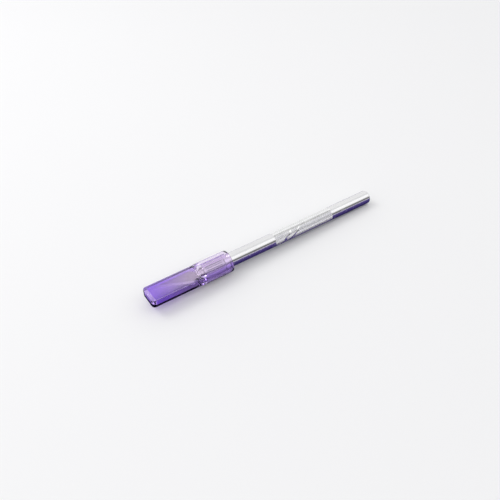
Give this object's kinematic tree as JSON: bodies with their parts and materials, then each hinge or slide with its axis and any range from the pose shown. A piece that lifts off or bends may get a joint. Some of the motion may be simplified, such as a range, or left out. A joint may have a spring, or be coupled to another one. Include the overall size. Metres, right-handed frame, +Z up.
{
  "type": "craft knife",
  "caption": "Round metal craft knife: knurled grip, four-jaw chuck, flat pointed blade under a tinted push-on safety cap.",
  "frame": {"origin": "centre of the flat rear end face of the handle, on the knife's axis", "axes": "+X along the knife from the rear end to the blade's point, blade flat in the XY plane with its spine on the -Y side, +Z up"},
  "size_m": [0.15, 0.0126, 0.0126],
  "materials": {
    "polished_handle": "polished",
    "turned_chuck": "satin",
    "plated_collet": "nickel plated",
    "blade_steel": "ground",
    "tinted_plastic": "clear tinted gloss"
  },
  "bodies": {
    "handle": {"handle": "polished_handle"},
    "chuck": {"chuck_sleeve": "turned_chuck"},
    "collet": {"collet": "plated_collet", "blade": "blade_steel"},
    "cap": {"safety_cap": "tinted_plastic"}
  },
  "joints": [
    {"name": "chuck_turn", "type": "hinge", "parent": "handle", "child": "chuck", "pos_m": [0.10425, 0, 0], "axis": [1, 0, 0], "range_deg": [0, 360]},
    {"name": "collet_draw", "type": "slide", "parent": "chuck", "child": "collet", "axis": [1, 0, 0], "range_m": [0, 0.0005]},
    {"name": "cap_pull", "type": "slide", "parent": "chuck", "child": "cap", "axis": [1, 0, 0], "range_m": [0, 0.05]}
  ],
  "couplings": [
    {"joint": "chuck_turn", "follows": "collet_draw", "rad_per_m": 12566}
  ]
}
